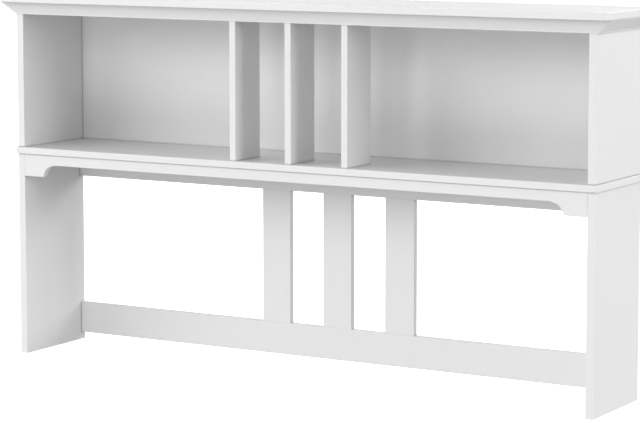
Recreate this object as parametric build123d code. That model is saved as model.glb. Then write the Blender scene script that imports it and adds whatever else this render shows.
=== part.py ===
"""A desk hutch: a shelved case on two side panels, with an open frame behind the legs.

Millimetres. X runs left to right, Y front to back and Z up. The origin is the middle of the
overall box at the level of the desk top that the hutch stands on.
"""
from build123d import *
import os

# ------------------------------------------------------------------ driving dimensions
OVERALL_WIDTH = 1524        # over the top panel
OVERALL_HEIGHT = 834
SIDE_DEPTH = 230            # side panels and legs, front to back
SIDE_THICKNESS = 18
TOP_THICKNESS = 16
THIN_BOARD = 15             # shelf, dividers, apron, rails and posts
BACK_THICKNESS = 3          # hardboard

TOP_OVERHANG_SIDE = 35      # top panel beyond the side panels
TOP_OVERHANG_FRONT = 35
TOP_CORNER_RADIUS = 10
RIM_RADIUS = 1.5            # rims of the top panel and the shelf

SHELF_BOTTOM = 468
SHELF_OVERHANG = 5          # beyond the side panels, at the front and at both ends

CROWN_HEIGHT = 28
CROWN_FRONT_REACH = (1.3, 12.7) # how far it stands out at its bottom and at its top
CROWN_SIDE_RATIO = 2.6          # side reach over front reach
CROWN_BOTTOM_LIP = 2
CROWN_TOP_LIP = 1.5

DIVIDER_PITCH = 141
DIVIDER_DEPTH = 102         # the dividers stop well short of the back

APRON_HEIGHT = 23.5         # between the coves
APRON_FOOT_DROP = 28
APRON_FOOT_WIDTH = 53
APRON_COVE_WIDTH = 36

RAIL_HEIGHT = 73
RAIL_CLEARANCE = 17.5       # under the bottom rail
TOP_RAIL_BOTTOM = 395
POST_WIDTH = 73
POST_PITCH = 159.5

EDGE_RADIUS = 0.8           # banded edges
FRAME_EDGE_RADIUS = 0.4     # edges of the back frame and the apron

# Fittings
FIT_GAP = 0.05              # between a fitting and the wall of its hole, on the radius
HOLE_SPARE = 1              # empty depth past the end of a dowel or screw
DOWEL = (4, 10, 20)         # radius, length in the first board, length in the second
POST_DOWEL = (4, 20, 20)
APRON_DOWEL = (4, 10, 14)
CROWN_DOWEL = (3, 9, 8)
CROWN_DOWEL_PLACE = 0.4     # share of the crown's reach, from the case outwards
CAM_REACH = 24              # joint plane to cam centre
CAM_RADIUS = 7.5
CAM_DEPTH = 12.5
CAM_RECESS = 0.5            # its face lies below the board's
CAP_RADIUS = 8.6
CAP_HEIGHT = 0.8
BOLT_THREAD = (3, 11)       # radius, length
BOLT_BORE_RADIUS = 4
BOLT_SHANK_RADIUS = 3
BOLT_NECK_RADIUS = 2.2
BOLT_HEAD_RADIUS = 3.4
SCREW_LENGTH = 45
SCREW_SHANK_RADIUS = 2.2
SCREW_HEAD_RADIUS = 4.4
SCREW_HEAD_DEPTH = 2.4
SCREW_TIP = 6
NAIL_HEAD = (2.5, 0.8)      # radius, thickness
NAIL_SHANK = (0.75, 18)     # radius, length under the head
INSERT_RADIUS = 5
INSERT_BORE_RADIUS = 2.5    # minor radius of an M6 thread
INSERT_LENGTH = 13
INSERT_HOLE_DEPTH = 30

# ------------------------------------------------------------------ derived places
CASE_HALF = OVERALL_WIDTH / 2 - TOP_OVERHANG_SIDE
INNER_HALF = CASE_HALF - SIDE_THICKNESS
SIDE_MIDDLE = CASE_HALF - SIDE_THICKNESS / 2
OVERALL_DEPTH = TOP_OVERHANG_FRONT + SIDE_DEPTH + BACK_THICKNESS
FRONT_Y = TOP_OVERHANG_FRONT - OVERALL_DEPTH / 2
BACK_Y = FRONT_Y + SIDE_DEPTH
TOP_Z = OVERALL_HEIGHT - TOP_THICKNESS
SHELF_TOP = SHELF_BOTTOM + THIN_BOARD
FRAME_MIDDLE_Y = BACK_Y - THIN_BOARD / 2
APRON_MIDDLE_Y = FRONT_Y + THIN_BOARD / 2
BOTTOM_RAIL_TOP = RAIL_CLEARANCE + RAIL_HEIGHT
CROWN_BOTTOM = TOP_Z - CROWN_HEIGHT

SIDES = {"left": -1, "right": 1}
POSITIONS = {"left": -1, "centre": 0, "right": 1}

fittings = {
    "wood_dowels": [],
    "crown_dowels": [],
    "cam_bolts": [],
    "cam_locks": [],
    "cam_caps": [],
    "case_screws": [],
    "back_nails": [],
    "desk_inserts": [],
}
holes = []


# ------------------------------------------------------------------ helpers
def block(x, y, z):
    """A box between the low and high ends given for each axis."""
    size = (x[1] - x[0], y[1] - y[0], z[1] - z[0])
    return Pos(x[0], y[0], z[0]) * Box(*size, align=(Align.MIN, Align.MIN, Align.MIN))


def rod(radius, low, high):
    """A cylinder on the Z axis between two heights."""
    return Pos(0, 0, low) * Cylinder(radius, high - low, align=(Align.CENTER, Align.CENTER, Align.MIN))


def turned(*outline):
    """A solid turned about the Z axis from (radius, height) points, closed along the axis."""
    points = [(0, outline[0][1])] + list(outline) + [(0, outline[-1][1])]
    face = make_face(Polyline(*points, close=True))
    return revolve(Plane.XZ * face, Axis.Z)


def lies_at(edge, axis, *values):
    """Whether an edge's middle has one of these values on an axis (0 is X, 1 is Y, 2 is Z)."""
    place = tuple(edge.center())[axis]
    return any(abs(place - value) < 1e-3 for value in values)


def drilled(board):
    """The board with the holes of every fitting that reaches into it."""
    reach = board.bounding_box()
    for hole in holes:
        box = hole.bounding_box()
        apart = any(
            low_a >= high_b or low_b >= high_a
            for low_a, high_a, low_b, high_b in zip(
                tuple(reach.min), tuple(reach.max), tuple(box.min), tuple(box.max)
            )
        )
        if not apart:
            board = board - hole
    return board


# ------------------------------------------------------------------ fittings
def add_dowel(node, at, along, size):
    """A dowel across a joint plane, its second length in the direction given."""
    radius, before, after = size
    place = Plane(origin=at, z_dir=along)
    bevel = 1
    pin = turned(
        (radius - bevel, -before), (radius, bevel - before), (radius, after - bevel), (radius - bevel, after)
    )
    fittings[node].append(place * pin)
    holes.append(place * rod(radius + FIT_GAP, -before - HOLE_SPARE, after + HOLE_SPARE))


def cam_bolt():
    """A cam bolt on the Z axis, its thread below the joint plane and its head at the cam's centre."""
    radius, length = BOLT_THREAD
    collar_height = 1.5
    neck_start = CAM_REACH - 6
    head_low, head_high = CAM_REACH - 1.5, CAM_REACH + 1.5
    return turned(
        (radius - 1, -length), (radius, 1 - length), (radius, 0),
        (BOLT_BORE_RADIUS - FIT_GAP, 0), (BOLT_BORE_RADIUS - FIT_GAP, collar_height),
        (BOLT_SHANK_RADIUS, collar_height), (BOLT_SHANK_RADIUS, neck_start),
        (BOLT_NECK_RADIUS, neck_start), (BOLT_NECK_RADIUS, head_low),
        (BOLT_HEAD_RADIUS, head_low), (BOLT_HEAD_RADIUS, head_high),
    )


def cam_lock(axis_depth):
    """A cam on the Z axis under a face at Z = 0, open towards +X for a bolt at this depth."""
    body = rod(CAM_RADIUS - FIT_GAP, -CAM_DEPTH, -CAM_RECESS)
    slot_half = BOLT_HEAD_RADIUS + 0.3
    slot = block((-3, CAM_RADIUS), (-slot_half, slot_half), (-axis_depth - slot_half, slot_half - axis_depth))
    cross_half, cross_width, cross_depth = 3.5, 0.6, 1.5
    recess = (-CAM_RECESS - cross_depth, 0)
    cross = block((-cross_half, cross_half), (-cross_width, cross_width), recess)
    cross += block((-cross_width, cross_width), (-cross_half, cross_half), recess)
    return body - slot - cross


def add_cam_joint(at, along, face, thickness):
    """A bolt through the joint plane and a cam in the board that it runs into.

    `along` points from the joint plane into that board, `face` out of the face the cam is let into.
    """
    along, face = Vector(along), Vector(face)
    joint = Plane(origin=at, z_dir=along)
    radius, length = BOLT_THREAD
    fittings["cam_bolts"].append(joint * cam_bolt())
    holes.append(joint * rod(radius + FIT_GAP, -length - HOLE_SPARE, 0))
    holes.append(joint * rod(BOLT_BORE_RADIUS, 0, CAM_REACH))
    centre = Vector(at) + along * CAM_REACH + face * (thickness / 2)
    seat = Plane(origin=centre, x_dir=-along, z_dir=face)
    fittings["cam_locks"].append(seat * cam_lock(thickness / 2))
    holes.append(seat * rod(CAM_RADIUS, -CAM_DEPTH, 0))
    cap = rod(CAP_RADIUS, 0, CAP_HEIGHT)
    cap = fillet(cap.edges().group_by(Axis.Z)[-1], CAP_HEIGHT / 2)
    fittings["cam_caps"].append(seat * cap)


def screw_outline(gap, length):
    """Half outline of a countersunk screw from its head at Z = 0, grown by a gap on the radius."""
    shank = SCREW_SHANK_RADIUS + gap
    return (
        (SCREW_HEAD_RADIUS + gap, 0), (shank, SCREW_HEAD_DEPTH),
        (shank, length - SCREW_TIP), (0.5 + gap, length),
    )


def add_screw(at, along):
    """A countersunk screw, flush with the surface at `at`."""
    place = Plane(origin=at, z_dir=along)
    body = turned(*screw_outline(0, SCREW_LENGTH))
    cross_half, cross_width, cross_depth = 2, 0.5, 1.6
    cross = block((-cross_half, cross_half), (-cross_width, cross_width), (0, cross_depth))
    cross += block((-cross_width, cross_width), (-cross_half, cross_half), (0, cross_depth))
    fittings["case_screws"].append(place * (body - cross))
    holes.append(place * turned(*screw_outline(FIT_GAP, SCREW_LENGTH + HOLE_SPARE)))


def add_nail(x, z):
    """A nail from behind, its head flush with the outside of the back panel."""
    head_radius, head_thickness = NAIL_HEAD
    shank_radius, shank_length = NAIL_SHANK
    place = Plane(origin=(x, BACK_Y + BACK_THICKNESS, z), z_dir=(0, -1, 0))
    end = head_thickness + shank_length
    nail = turned(
        (head_radius, 0), (head_radius, head_thickness), (shank_radius, head_thickness),
        (shank_radius, end - 1), (0.2, end),
    )
    fittings["back_nails"].append(place * nail)
    hole = rod(head_radius + FIT_GAP, 0, head_thickness) + rod(shank_radius + FIT_GAP, 0, end + HOLE_SPARE)
    holes.append(place * hole)


def add_insert(x, y):
    """A threaded insert, flush with the underside of a leg."""
    body = rod(INSERT_RADIUS, 0, INSERT_LENGTH) - rod(INSERT_BORE_RADIUS, 0, INSERT_LENGTH)
    fittings["desk_inserts"].append(Pos(x, y, 0) * body)
    hole = rod(INSERT_RADIUS + FIT_GAP, 0, INSERT_LENGTH) + rod(INSERT_BORE_RADIUS + 1, 0, INSERT_HOLE_DEPTH)
    holes.append(Pos(x, y, 0) * hole)


def join_case():
    """Top panel to upper sides, upper sides to shelf, shelf to legs."""
    for side in SIDES.values():
        x = side * SIDE_MIDDLE
        inwards = (-side, 0, 0)
        for y in (FRONT_Y + 60, FRONT_Y + 170):
            add_cam_joint((x, y, TOP_Z), (0, 0, -1), inwards, SIDE_THICKNESS)
            add_cam_joint((x, y, SHELF_BOTTOM), (0, 0, -1), inwards, SIDE_THICKNESS)
        for y in (FRONT_Y + 25, FRONT_Y + 205):
            add_dowel("wood_dowels", (x, y, TOP_Z), (0, 0, -1), DOWEL)
            add_dowel("wood_dowels", (x, y, SHELF_BOTTOM), (0, 0, -1), DOWEL)
        for y in (FRONT_Y + 85, FRONT_Y + 145):
            add_dowel("wood_dowels", (x, y, SHELF_TOP), (0, 0, 1), DOWEL)
        for y in (FRONT_Y + 42, FRONT_Y + 188):
            add_screw((x, y, SHELF_BOTTOM), (0, 0, 1))
            add_insert(x, y)


def join_dividers():
    """Two screws up into each divider and two dowels down from the top panel."""
    for position in POSITIONS.values():
        for y in (FRONT_Y + 25, FRONT_Y + DIVIDER_DEPTH - 25):
            add_screw((position * DIVIDER_PITCH, y, SHELF_BOTTOM), (0, 0, 1))
            add_dowel("wood_dowels", (position * DIVIDER_PITCH, y, TOP_Z), (0, 0, -1), DOWEL)


def join_frame():
    """Rails to legs, posts to rails, top rail to shelf."""
    backwards = (0, 1, 0)
    rail_middles = (RAIL_CLEARANCE + RAIL_HEIGHT / 2, (TOP_RAIL_BOTTOM + SHELF_BOTTOM) / 2)
    for side in SIDES.values():
        for z in rail_middles:
            end = (side * INNER_HALF, FRAME_MIDDLE_Y, z)
            add_cam_joint(end, (-side, 0, 0), backwards, THIN_BOARD)
            for offset in (-24, 24):
                add_dowel("wood_dowels", (end[0], end[1], z + offset), (-side, 0, 0), DOWEL)
        add_cam_joint((side * 400, FRAME_MIDDLE_Y, SHELF_BOTTOM), (0, 0, -1), backwards, THIN_BOARD)
    for position in POSITIONS.values():
        x = position * POST_PITCH
        for z, up in ((BOTTOM_RAIL_TOP, 1), (TOP_RAIL_BOTTOM, -1)):
            add_cam_joint((x, FRAME_MIDDLE_Y, z), (0, 0, up), backwards, THIN_BOARD)
            for offset in (-22, 22):
                add_dowel("wood_dowels", (x + offset, FRAME_MIDDLE_Y, z), (0, 0, up), POST_DOWEL)


def join_apron():
    """A cam at each foot of the apron and dowels up into the shelf."""
    foot_z = SHELF_BOTTOM - APRON_HEIGHT - 4
    for side in SIDES.values():
        add_cam_joint((side * INNER_HALF, APRON_MIDDLE_Y, foot_z), (-side, 0, 0), (0, 1, 0), THIN_BOARD)
        for x in (90, 270, 450, 640):
            add_dowel("wood_dowels", (side * x, APRON_MIDDLE_Y, SHELF_BOTTOM), (0, 0, -1), APRON_DOWEL)


def join_crown():
    """Small dowels from the crown up into the top panel."""
    out = CROWN_FRONT_REACH[1] * CROWN_DOWEL_PLACE
    for x in (-600, -300, 0, 300, 600):
        add_dowel("crown_dowels", (x, FRONT_Y - out, TOP_Z), (0, 0, -1), CROWN_DOWEL)
    for side in SIDES.values():
        x = side * (CASE_HALF + out * CROWN_SIDE_RATIO)
        for y in (FRONT_Y + 30, FRONT_Y + 115, FRONT_Y + 200):
            add_dowel("crown_dowels", (x, y, TOP_Z), (0, 0, -1), CROWN_DOWEL)


def join_back():
    """Nails round the back panel, into the top panel, the shelf and the upper sides."""
    last_x, columns = 675, 10
    for column in range(columns):
        x = last_x * (2 * column / (columns - 1) - 1)
        add_nail(x, TOP_Z + TOP_THICKNESS / 2)
        add_nail(x, SHELF_BOTTOM + THIN_BOARD / 2)
    for side in SIDES.values():
        for z in (545, 650, 755):
            add_nail(side * SIDE_MIDDLE, z)


# ------------------------------------------------------------------ boards
def top_panel():
    half = OVERALL_WIDTH / 2
    panel = block((-half, half), (FRONT_Y - TOP_OVERHANG_FRONT, BACK_Y), (TOP_Z, OVERALL_HEIGHT))
    corners = [e for e in panel.edges().filter_by(Axis.Z) if lies_at(e, 1, FRONT_Y - TOP_OVERHANG_FRONT)]
    panel = fillet(corners, TOP_CORNER_RADIUS)
    rims = [e for e in panel.edges() if lies_at(e, 2, TOP_Z, OVERALL_HEIGHT) and not lies_at(e, 1, BACK_Y)]
    return fillet(rims, RIM_RADIUS)


def crown_profile(ratio):
    """Closed outline of the crown, standing out along -X of its own plane."""
    low, high = (reach * ratio for reach in CROWN_FRONT_REACH)
    return make_face(Polyline(
        (0, CROWN_BOTTOM), (-low, CROWN_BOTTOM), (-low, CROWN_BOTTOM + CROWN_BOTTOM_LIP),
        (-high, TOP_Z - CROWN_TOP_LIP), (-high, TOP_Z), (0, TOP_Z), close=True,
    ))


def mitre(side):
    """The upright plane of a front corner's mitre, its normal pointing backwards and outwards."""
    return Plane(origin=(side * CASE_HALF, FRONT_Y, CROWN_BOTTOM), z_dir=(side, CROWN_SIDE_RATIO, 0))


def crown_front():
    section = Plane(origin=(-CASE_HALF, FRONT_Y, 0), x_dir=(0, 1, 0), z_dir=(1, 0, 0)) * crown_profile(1)
    reach = CROWN_FRONT_REACH[1] * CROWN_SIDE_RATIO
    piece = Pos(-reach, 0, 0) * extrude(section, 2 * (CASE_HALF + reach), dir=(1, 0, 0))
    for side in SIDES.values():
        piece = split(piece, bisect_by=mitre(side), keep=Keep.BOTTOM)
    return piece


def crown_side(side):
    profile = Plane(origin=(side * CASE_HALF, 0, 0), x_dir=(-side, 0, 0), z_dir=(0, side, 0))
    section = profile * crown_profile(CROWN_SIDE_RATIO)
    length = SIDE_DEPTH + CROWN_FRONT_REACH[1]
    piece = Pos(0, BACK_Y - length, 0) * extrude(section, length, dir=(0, 1, 0))
    return split(piece, bisect_by=mitre(side), keep=Keep.TOP)


def side_panel(side, z):
    """A side panel or leg, rounded at its front and all round its outer face except at the back."""
    outer_x = side * CASE_HALF
    panel = block(sorted((side * INNER_HALF, outer_x)), (FRONT_Y, BACK_Y), z)
    front = [e for e in panel.edges() if lies_at(e, 1, FRONT_Y)]
    outer = [e for e in panel.edges() if lies_at(e, 0, outer_x) and lies_at(e, 2, *z)]
    return fillet(front + outer, EDGE_RADIUS)


def divider(position):
    x = position * DIVIDER_PITCH
    panel = block(
        (x - THIN_BOARD / 2, x + THIN_BOARD / 2), (FRONT_Y, FRONT_Y + DIVIDER_DEPTH), (SHELF_TOP, TOP_Z)
    )
    return fillet(panel.edges().filter_by(Axis.Z), EDGE_RADIUS)


def shelf():
    half = CASE_HALF + SHELF_OVERHANG
    board = block((-half, half), (FRONT_Y - SHELF_OVERHANG, BACK_Y), (SHELF_BOTTOM, SHELF_TOP))
    corners = [e for e in board.edges().filter_by(Axis.Z) if lies_at(e, 1, FRONT_Y - SHELF_OVERHANG)]
    board = fillet(corners, 2 * RIM_RADIUS)
    rims = [e for e in board.edges() if lies_at(e, 2, SHELF_BOTTOM, SHELF_TOP) and not lies_at(e, 1, BACK_Y)]
    return fillet(rims, RIM_RADIUS)


def apron():
    """A straight valance with a foot at each end, each joined to it by a quarter-ellipse cove."""
    straight_z = SHELF_BOTTOM - APRON_HEIGHT
    foot_z = straight_z - APRON_FOOT_DROP
    foot_x = INNER_HALF - APRON_FOOT_WIDTH
    cove_x = foot_x - APRON_COVE_WIDTH
    outline = Curve() + [
        Polyline((-foot_x, foot_z), (-INNER_HALF, foot_z), (-INNER_HALF, SHELF_BOTTOM),
                 (INNER_HALF, SHELF_BOTTOM), (INNER_HALF, foot_z), (foot_x, foot_z)),
        EllipticalCenterArc((cove_x, foot_z), APRON_COVE_WIDTH, APRON_FOOT_DROP, 0, arc_size=90),
        Line((cove_x, straight_z), (-cove_x, straight_z)),
        EllipticalCenterArc((-cove_x, foot_z), APRON_COVE_WIDTH, APRON_FOOT_DROP, 90, arc_size=90),
    ]
    section = Plane(origin=(0, FRONT_Y, 0), x_dir=(1, 0, 0), z_dir=(0, -1, 0)) * make_face(outline.edges())
    board = extrude(section, THIN_BOARD, dir=(0, 1, 0))
    lower = [e for e in board.edges() if lies_at(e, 1, FRONT_Y) and e.center().Z < straight_z + 1]
    return fillet(lower, FRAME_EDGE_RADIUS)


def frame_board(x, z, axis):
    """A rail or post of the back frame, its long edges rounded."""
    board = block(x, (BACK_Y - THIN_BOARD, BACK_Y), z)
    return fillet(board.edges().filter_by(axis), FRAME_EDGE_RADIUS)


def rail(bottom, top):
    return frame_board((-INNER_HALF, INNER_HALF), (bottom, top), Axis.X)


def post(position):
    x = position * POST_PITCH
    return frame_board((x - POST_WIDTH / 2, x + POST_WIDTH / 2), (BOTTOM_RAIL_TOP, TOP_RAIL_BOTTOM), Axis.Z)


def back_panel():
    """Hardboard over the back edges of the upper case, set in a little from its outline."""
    inset = 3
    half = CASE_HALF - inset
    return block(
        (-half, half), (BACK_Y, BACK_Y + BACK_THICKNESS), (SHELF_BOTTOM + inset, OVERALL_HEIGHT - inset)
    )


def all_boards():
    boards = {
        "top_panel": top_panel(),
        "crown_front": crown_front(),
        "shelf": shelf(),
        "apron": apron(),
        "back_bottom_rail": rail(RAIL_CLEARANCE, BOTTOM_RAIL_TOP),
        "back_top_rail": rail(TOP_RAIL_BOTTOM, SHELF_BOTTOM),
        "back_panel": back_panel(),
    }
    for name, side in SIDES.items():
        boards[f"crown_{name}"] = crown_side(side)
        boards[f"upper_side_{name}"] = side_panel(side, (SHELF_TOP, TOP_Z))
        boards[f"lower_side_{name}"] = side_panel(side, (0, SHELF_BOTTOM))
    for name, position in POSITIONS.items():
        boards[f"divider_{name}"] = divider(position)
        boards[f"post_{name}"] = post(position)
    return boards


join_case()
join_dividers()
join_frame()
join_apron()
join_crown()
join_back()

os.makedirs("parts", exist_ok=True)
for name, board in all_boards().items():
    export_step(drilled(board), f"parts/{name}.step")
for name, solids in fittings.items():
    export_step(Compound(children=[piece.solid() for piece in solids]), f"parts/{name}.step")
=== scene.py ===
"""Looks, light and camera for the desk hutch. Metres, in the CAD model's own frame."""

import math

import bpy
from mathutils import Euler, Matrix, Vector


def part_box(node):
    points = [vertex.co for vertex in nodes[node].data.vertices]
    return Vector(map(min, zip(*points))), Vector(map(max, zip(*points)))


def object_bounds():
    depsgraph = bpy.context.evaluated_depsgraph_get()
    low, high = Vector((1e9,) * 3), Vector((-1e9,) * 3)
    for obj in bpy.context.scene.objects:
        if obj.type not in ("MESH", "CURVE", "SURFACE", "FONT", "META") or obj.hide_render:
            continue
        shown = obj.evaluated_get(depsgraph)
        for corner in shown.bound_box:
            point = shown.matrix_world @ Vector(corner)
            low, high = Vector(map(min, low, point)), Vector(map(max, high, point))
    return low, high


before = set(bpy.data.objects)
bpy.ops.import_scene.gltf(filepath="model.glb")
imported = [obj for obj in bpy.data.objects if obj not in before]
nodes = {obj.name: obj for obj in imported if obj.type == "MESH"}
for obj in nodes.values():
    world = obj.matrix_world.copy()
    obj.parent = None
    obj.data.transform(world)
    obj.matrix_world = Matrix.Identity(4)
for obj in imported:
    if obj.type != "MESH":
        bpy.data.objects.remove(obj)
cad_low, cad_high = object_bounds()

MM = 0.001
WHITE = (1, 1, 1, 1)

# ------------------------------------------------------------------ looks
NOISE_LOW, NOISE_HIGH = 0.3, 0.7    # nearly all of a noise's values lie between these

# Every tone is a share of the laminate's own colour.
LAMINATE = (0.71, 0.71, 0.71)
GRAIN_CELL = (180 * MM, 7 * MM)     # length and width of a streak of the pressed grain
GRAIN_TONES = (0.990, 1.007)
GRAIN_ROUGHNESS = (0.44, 0.36)
GRAIN_SHIFT = 7.3                   # in cells, from one board's pattern to the next one's
PORE_CELL = (16 * MM, 0.7 * MM)
PORE_TONE = 0.86
PORE_SHARE = 0.05
BAND_SEAM = 1.0 * MM                # from a board's edge to the joint of its edge band
SEAM_HALF = (0.05 * MM, 0.22 * MM)  # half width of that joint, at full depth and faded out
SEAM_TONE = 0.72
SEAM_SHARE = 0.3
JOINT_REACH = 5 * MM                # how far the painted shade and dust that darken a joint reach from it
JOINT_OPENNESS = (0.3, 0.95)        # how open the space is, deep in a joint and clear of it
JOINT_RAYS = 8
# Painted shade and dust in the joints: the tone that the colour darkens towards, and how strongly.
JOINT_SHADE_AND_DUST_TONE = 0.3
JOINT_SHADE_AND_DUST_SHARE = 0.75
PAINT_TONES = (0.965, 0.995)        # of the hardboard's inside

BACK_OUTER_Y = cad_high.y - 0.5 * MM    # the hardboard's outside lies behind this
SCREEN_PITCH = 1.8 * MM                 # of the mesh pressed into that outside
THREAD_PITCH = 1.0 * MM

# Grain runs along the longest side of each board.
BOARDS = {
    "top_panel": 0, "crown_front": 0, "crown_left": 1, "crown_right": 1, "shelf": 0, "apron": 0,
    "back_top_rail": 0, "back_bottom_rail": 0,
    "upper_side_left": 2, "upper_side_right": 2, "lower_side_left": 2, "lower_side_right": 2,
    "divider_left": 2, "divider_centre": 2, "divider_right": 2,
    "post_left": 2, "post_centre": 2, "post_right": 2,
}


class Graph:
    """A material's nodes, with short ways to add and join them."""

    def __init__(self, name):
        self.material = bpy.data.materials.new(name)
        self.material.use_nodes = True
        self.tree = self.material.node_tree
        self.shader = self.tree.nodes["Principled BSDF"]
        self.place = self.node("ShaderNodeTexCoord").outputs["Object"]

    def node(self, kind, **settings):
        made = self.tree.nodes.new(kind)
        for key, value in settings.items():
            setattr(made, key, value)
        return made

    def feed(self, socket, value):
        if isinstance(value, bpy.types.NodeSocket):
            self.tree.links.new(value, socket)
        else:
            socket.default_value = value

    def math(self, operation, *values):
        made = self.node("ShaderNodeMath", operation=operation)
        for socket, value in zip(made.inputs, values):
            self.feed(socket, value)
        return made.outputs[0]

    def axes(self):
        """The place on the object, as its three numbers."""
        made = self.node("ShaderNodeSeparateXYZ")
        self.feed(made.inputs[0], self.place)
        return made.outputs

    def stretched(self, scale, shift=(0, 0, 0)):
        """The place on the object, in cells of a size given per axis."""
        made = self.node("ShaderNodeMapping")
        self.feed(made.inputs["Vector"], self.place)
        made.inputs["Scale"].default_value = scale
        made.inputs["Location"].default_value = shift
        return made.outputs[0]

    def noise(self, vector, scale=1.0, detail=2.0, roughness=0.5, distortion=0.0):
        made = self.node("ShaderNodeTexNoise")
        self.feed(made.inputs["Vector"], vector)
        for key, value in (("Scale", scale), ("Detail", detail), ("Roughness", roughness),
                           ("Distortion", distortion)):
            made.inputs[key].default_value = value
        return made.outputs["Fac"]

    def waves(self, place, pitch):
        return self.math("SINE", self.math("MULTIPLY", place, 2 * math.pi / pitch))

    def remap(self, value, low, high, to_low, to_high):
        made = self.node("ShaderNodeMapRange")
        for key, number in (("From Min", low), ("From Max", high),
                            ("To Min", to_low), ("To Max", to_high)):
            made.inputs[key].default_value = number
        self.feed(made.inputs["Value"], value)
        return made.outputs[0]

    def spread(self, noise, to_low=0.0, to_high=1.0):
        """A noise, brought to a range that it fills."""
        return self.remap(noise, NOISE_LOW, NOISE_HIGH, to_low, to_high)

    def blend(self, factor, first, second):
        made = self.node("ShaderNodeMix", data_type="RGBA", blend_type="MIX")
        self.feed(made.inputs[0], factor)
        for socket, value in ((made.inputs[6], first), (made.inputs[7], second)):
            self.feed(socket, value if isinstance(value, bpy.types.NodeSocket) else (*value, 1))
        return made.outputs[2]

    def dust_and_joint_shade(self, colour):
        """The colour, darkened in the joint between two boards and just beside it: painted shade
        where the space is closed in, with dust.
        """
        # Painted shade: an ambient occlusion node darkens the base colour in joints and inner
        # corners.
        made = self.node("ShaderNodeAmbientOcclusion", samples=JOINT_RAYS)
        made.inputs["Distance"].default_value = JOINT_REACH
        depth = self.remap(made.outputs["AO"], *JOINT_OPENNESS, 1.0, 0.0)
        shade_and_dust = self.math("MULTIPLY", depth, JOINT_SHADE_AND_DUST_SHARE)
        return self.blend(shade_and_dust, colour, laminate_tone(JOINT_SHADE_AND_DUST_TONE))

    def bump(self, height, distance, strength):
        made = self.node("ShaderNodeBump")
        made.inputs["Strength"].default_value = strength
        made.inputs["Distance"].default_value = distance
        self.feed(made.inputs["Height"], height)
        self.feed(self.shader.inputs["Normal"], made.outputs[0])

    def set(self, **values):
        for key, value in values.items():
            self.feed(self.shader.inputs[key.replace("_", " ")], value)


def laminate_tone(tone):
    return tuple(channel * tone for channel in LAMINATE)


def cells(grain, along, across):
    """The scale on each axis for cells that are drawn out along the grain."""
    return [1 / (along if axis == grain else across) for axis in range(3)]


def band_seam(graph, low, high):
    """One on the joint line of a board's edge band, and nothing elsewhere."""
    centre, half = (low + high) / 2, (high - low) / 2
    thin = min(range(3), key=lambda axis: half[axis])
    place = graph.axes()
    insets = []
    for axis in range(3):
        if axis != thin:
            offset = graph.math("ABSOLUTE", graph.math("SUBTRACT", place[axis], centre[axis]))
            insets.append(graph.math("SUBTRACT", half[axis], offset))
    inset = graph.math("MINIMUM", *insets)
    off_seam = graph.math("ABSOLUTE", graph.math("SUBTRACT", inset, BAND_SEAM))
    return graph.remap(off_seam, *SEAM_HALF, 1.0, 0.0)


def laminate(node, grain):
    """Satin white foil with a pressed wood grain, and the fine joint line of its edge band."""
    graph = Graph(f"laminate_{node}")
    board = sorted(BOARDS).index(node) + 1
    shift = [GRAIN_SHIFT * step * board for step in (1, 2, 3)]

    streaks = graph.noise(graph.stretched(cells(grain, *GRAIN_CELL), shift),
                          detail=5, roughness=0.62, distortion=0.6)
    pores = graph.noise(graph.stretched(cells(grain, *PORE_CELL), shift))
    cloud = graph.noise(graph.stretched([4, 4, 4], shift))
    seam = band_seam(graph, *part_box(node))

    colour = graph.blend(graph.spread(streaks), *map(laminate_tone, GRAIN_TONES))
    in_pore = graph.remap(pores, 0.52, 0.75, 0.0, PORE_SHARE)
    colour = graph.blend(in_pore, colour, laminate_tone(PORE_TONE))
    in_seam = graph.math("MULTIPLY", seam, SEAM_SHARE)
    colour = graph.blend(in_seam, colour, laminate_tone(SEAM_TONE))

    rough = graph.math("ADD", graph.spread(streaks, *GRAIN_ROUGHNESS),
                       graph.spread(cloud, -0.03, 0.05))
    rough = graph.math("ADD", rough, graph.remap(pores, 0.5, 0.8, 0.0, 0.10))
    # The base colour carries painted shade and dust in the joints.
    graph.set(Base_Color=graph.dust_and_joint_shade(colour), Roughness=rough)

    height = graph.math("SUBTRACT", graph.math("MULTIPLY", streaks, 0.5),
                        graph.math("MULTIPLY", pores, 0.6))
    height = graph.math("SUBTRACT", height, graph.math("MULTIPLY", seam, 0.5))
    graph.bump(height, 0.12 * MM, 0.55)
    return graph.material


def hardboard():
    """Smooth white paint towards the shelves, and the screen-pressed rough side behind."""
    graph = Graph("hardboard")
    place = graph.axes()
    outer = graph.math("GREATER_THAN", place[1], BACK_OUTER_Y)
    mottle = graph.noise(graph.place, scale=9, detail=4, roughness=0.6)
    fibre = graph.noise(graph.stretched([420, 420, 420]), detail=3, roughness=0.7)
    screen = graph.math("MULTIPLY", *(graph.waves(place[axis], SCREEN_PITCH) for axis in (0, 2)))
    screen = graph.math("MULTIPLY", graph.math("ADD", screen, fibre), outer)

    front = graph.blend(graph.spread(mottle), *map(laminate_tone, PAINT_TONES))
    back = graph.blend(graph.spread(fibre), (0.60, 0.585, 0.55), (0.70, 0.69, 0.66))
    # The paint carries painted shade and dust in the joints, as the laminate does.
    colour = graph.dust_and_joint_shade(graph.blend(outer, front, back))
    graph.set(Base_Color=colour, Roughness=graph.remap(fibre, 0.2, 0.8, 0.5, 0.68))

    height = graph.math("ADD", graph.math("MULTIPLY", screen, 0.35),
                        graph.math("MULTIPLY", fibre, 0.2))
    graph.bump(height, 0.2 * MM, 0.5)
    return graph.material


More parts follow.
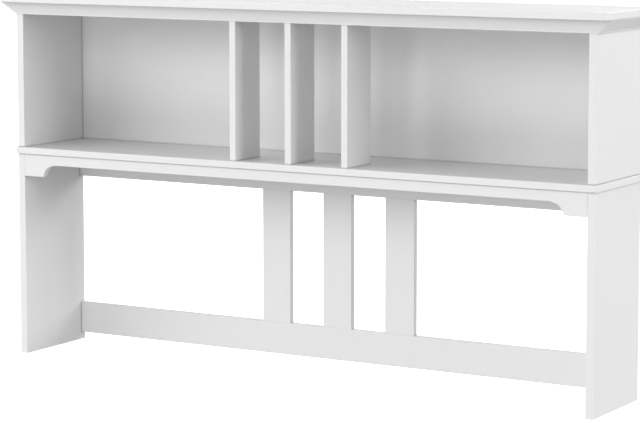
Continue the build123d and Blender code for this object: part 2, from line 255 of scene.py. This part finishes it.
def metal(name, light, dark, rough):
    """Bare cast or plated metal with a fine mottled surface."""
    graph = Graph(name)
    cloud = graph.noise(graph.place, scale=260, detail=3)
    fine = graph.noise(graph.stretched([1 / (0.4 * MM)] * 3))
    graph.set(Base_Color=graph.blend(graph.spread(cloud), dark, light), Metallic=1.0)
    graph.set(Roughness=graph.remap(fine, 0.25, 0.75, rough - 0.07, rough + 0.1))
    graph.bump(fine, 0.05 * MM, 0.4)
    return graph.material


def plastic():
    """Moulded white plastic."""
    graph = Graph("cap_plastic")
    fine = graph.noise(graph.stretched([1 / (0.5 * MM)] * 3))
    cloud = graph.noise(graph.place, scale=120)
    graph.set(Base_Color=graph.blend(graph.spread(cloud), (0.76, 0.76, 0.745), (0.80, 0.80, 0.785)))
    graph.set(Roughness=graph.remap(fine, 0.2, 0.8, 0.42, 0.55))
    graph.bump(fine, 0.04 * MM, 0.4)
    return graph.material


def beech(name):
    """Bare beech with an upright grain and short flecks along it."""
    graph = Graph(name)
    scale = cells(2, 14 * MM, 0.9 * MM)
    grain = graph.noise(graph.stretched(scale), detail=4, roughness=0.6)
    flecks = graph.noise(graph.stretched([number * 2.2 for number in scale], (3, 1, 2)))
    colour = graph.blend(graph.spread(grain), (0.46, 0.29, 0.16), (0.64, 0.45, 0.27))
    colour = graph.blend(graph.remap(flecks, 0.6, 0.75, 0, 0.6), colour, (0.33, 0.19, 0.10))
    graph.set(Base_Color=colour, Roughness=graph.spread(grain, 0.55, 0.7))
    graph.bump(grain, 0.1 * MM, 0.5)
    return graph.material


def threaded_brass():
    """Brass with the crests of a fine thread."""
    graph = Graph("insert_brass")
    crests = graph.waves(graph.axes()[2], THREAD_PITCH)
    cloud = graph.noise(graph.place, scale=300, detail=3)
    colour = graph.blend(graph.spread(cloud), (0.50, 0.35, 0.13), (0.66, 0.50, 0.22))
    graph.set(Base_Color=colour, Metallic=1.0, Roughness=graph.spread(cloud, 0.28, 0.42))
    graph.bump(crests, 0.25 * MM, 0.8)
    return graph.material


def wear(node, material):
    slots = nodes[node].data.materials
    slots.clear()
    slots.append(material)


for board_name, grain_axis in BOARDS.items():
    wear(board_name, laminate(board_name, grain_axis))
wear("back_panel", hardboard())
wear("cam_locks", metal("zinc_cast", (0.60, 0.61, 0.63), (0.48, 0.49, 0.51), 0.42))
wear("cam_bolts", metal("steel_plated", (0.66, 0.66, 0.67), (0.56, 0.56, 0.57), 0.3))
wear("case_screws", metal("steel_screw", (0.62, 0.60, 0.54), (0.50, 0.48, 0.42), 0.3))
wear("back_nails", metal("steel_nail", (0.60, 0.60, 0.61), (0.46, 0.46, 0.47), 0.38))
wear("cam_caps", plastic())
wear("wood_dowels", beech("beech_long"))
wear("crown_dowels", beech("beech_short"))
wear("desk_inserts", threaded_brass())


# ------------------------------------------------------------------ camera
CAMERA_PLACE = Vector((2.7900, -4.7177, 1.1014))
CAMERA_TURN = 30.39             # degrees round from the front, towards the right
CAMERA_DIP = 6.436              # degrees below level
CAMERA_LENS = 141.06            # millimetres, as the sensor's width is
CAMERA_SENSOR = 36
CAMERA_SHIFT = -0.08
CAMERA_SIGHT = 200              # past the far side of the backdrop

camera_data = bpy.data.cameras.new("camera")
camera_data.sensor_width = CAMERA_SENSOR
camera_data.lens = CAMERA_LENS
camera_data.shift_y = CAMERA_SHIFT
camera_data.clip_end = CAMERA_SIGHT
camera = bpy.data.objects.new("camera", camera_data)
camera.location = CAMERA_PLACE
camera.rotation_euler = Euler((math.radians(90 - CAMERA_DIP), 0, math.radians(CAMERA_TURN)))
bpy.context.scene.collection.objects.link(camera)
bpy.context.scene.camera = camera

# ------------------------------------------------------------------ floor and light
FLOOR_RADIUS = 40
FLOOR_SIDES = 96
SWEEP_RADIUS = 15
SWEEP_STEPS = 10
WALL_HEIGHT = 45
FLOOR_GLOW = 0.7                # keeps the floor white right up to the legs
SKY_STRENGTH = 0.45
SOFTBOX_SIZE = 5
SOFTBOX_DISTANCE = 12

# Each softbox: its turn round from the front and its height, in degrees, and the light that it
# throws on a surface facing it, in watts per square metre.
SOFTBOXES = {
    "top": (0, 90, 0.92),
    "front": (0, 14, 0.42),
    "front_low": (0, -25, 0.65),
    "front_left": (-35, 20, 0.67),
    "front_right": (35, 20, 0.20),
    "left_front": (-60, 15, 0.95),
    "left": (-85, 12, 0.67),
    "left_low": (-90, -25, 0.48),
    "right": (85, 12, 1.58),
    "back_right": (140, 20, 0.84),
    "back": (180, 35, 1.10),
}


def floor_mesh():
    """A round floor that sweeps up into a wall, so that no horizon shows from any side."""
    outline = [(FLOOR_RADIUS, 0)]
    for step in range(1, SWEEP_STEPS + 1):
        angle = math.pi / 2 * step / SWEEP_STEPS
        outline.append((FLOOR_RADIUS + SWEEP_RADIUS * math.sin(angle),
                        SWEEP_RADIUS * (1 - math.cos(angle))))
    outline.append((FLOOR_RADIUS + SWEEP_RADIUS, WALL_HEIGHT))
    turns = [2 * math.pi * index / FLOOR_SIDES for index in range(FLOOR_SIDES)]
    corners = [(reach * math.cos(turn), reach * math.sin(turn), height)
               for reach, height in outline for turn in turns]
    faces = [tuple(range(FLOOR_SIDES))]
    for ring in range(len(outline) - 1):
        inner, outer = ring * FLOOR_SIDES, (ring + 1) * FLOOR_SIDES
        for index in range(FLOOR_SIDES):
            after = (index + 1) % FLOOR_SIDES
            faces.append((inner + index, outer + index, outer + after, inner + after))
    mesh = bpy.data.meshes.new("floor")
    mesh.from_pydata(corners, [], faces)
    return mesh


def floor():
    """The floor with its paint. It throws no light on the object and takes no shadow."""
    backdrop = bpy.data.objects.new("floor", floor_mesh())
    bpy.context.scene.collection.objects.link(backdrop)
    # The sky and the low softboxes stand for the light that a floor would throw back.
    backdrop.visible_diffuse = backdrop.visible_glossy = backdrop.visible_shadow = False
    graph = Graph("floor_paint")
    cloud = graph.noise(graph.place, scale=1.5)
    graph.set(Base_Color=graph.blend(cloud, (0.87, 0.87, 0.87), (0.90, 0.90, 0.90)))
    graph.set(Roughness=0.9, Emission_Color=WHITE, Emission_Strength=FLOOR_GLOW)
    backdrop.data.materials.append(graph.material)


def softbox(name, turn, lift, light, aim):
    """A square area light, facing `aim` from a turn and a height angle in degrees."""
    data = bpy.data.lights.new(name, "AREA")
    data.shape = "SQUARE"
    data.size = SOFTBOX_SIZE
    data.energy = light * math.pi * SOFTBOX_DISTANCE ** 2
    turn, lift = math.radians(turn), math.radians(lift)
    back = Vector((math.sin(turn) * math.cos(lift),
                   -math.cos(turn) * math.cos(lift),
                   math.sin(lift)))
    lamp = bpy.data.objects.new(name, data)
    lamp.location = aim + back * SOFTBOX_DISTANCE
    lamp.rotation_mode = "QUATERNION"
    lamp.rotation_quaternion = (-back).to_track_quat("-Z", "Y")
    bpy.context.scene.collection.objects.link(lamp)


def studio():
    """The sky, the softboxes and plain display colours."""
    world = bpy.data.worlds.new("studio")
    world.use_nodes = True
    background = world.node_tree.nodes["Background"]
    background.inputs["Color"].default_value = WHITE
    background.inputs["Strength"].default_value = SKY_STRENGTH
    bpy.context.scene.world = world
    bpy.context.scene.view_settings.view_transform = "Standard"
    aim = Vector((0, 0, (cad_low.z + cad_high.z) / 2))
    for name, (turn, lift, light) in SOFTBOXES.items():
        softbox(name, turn, lift, light, aim)


floor()
studio()
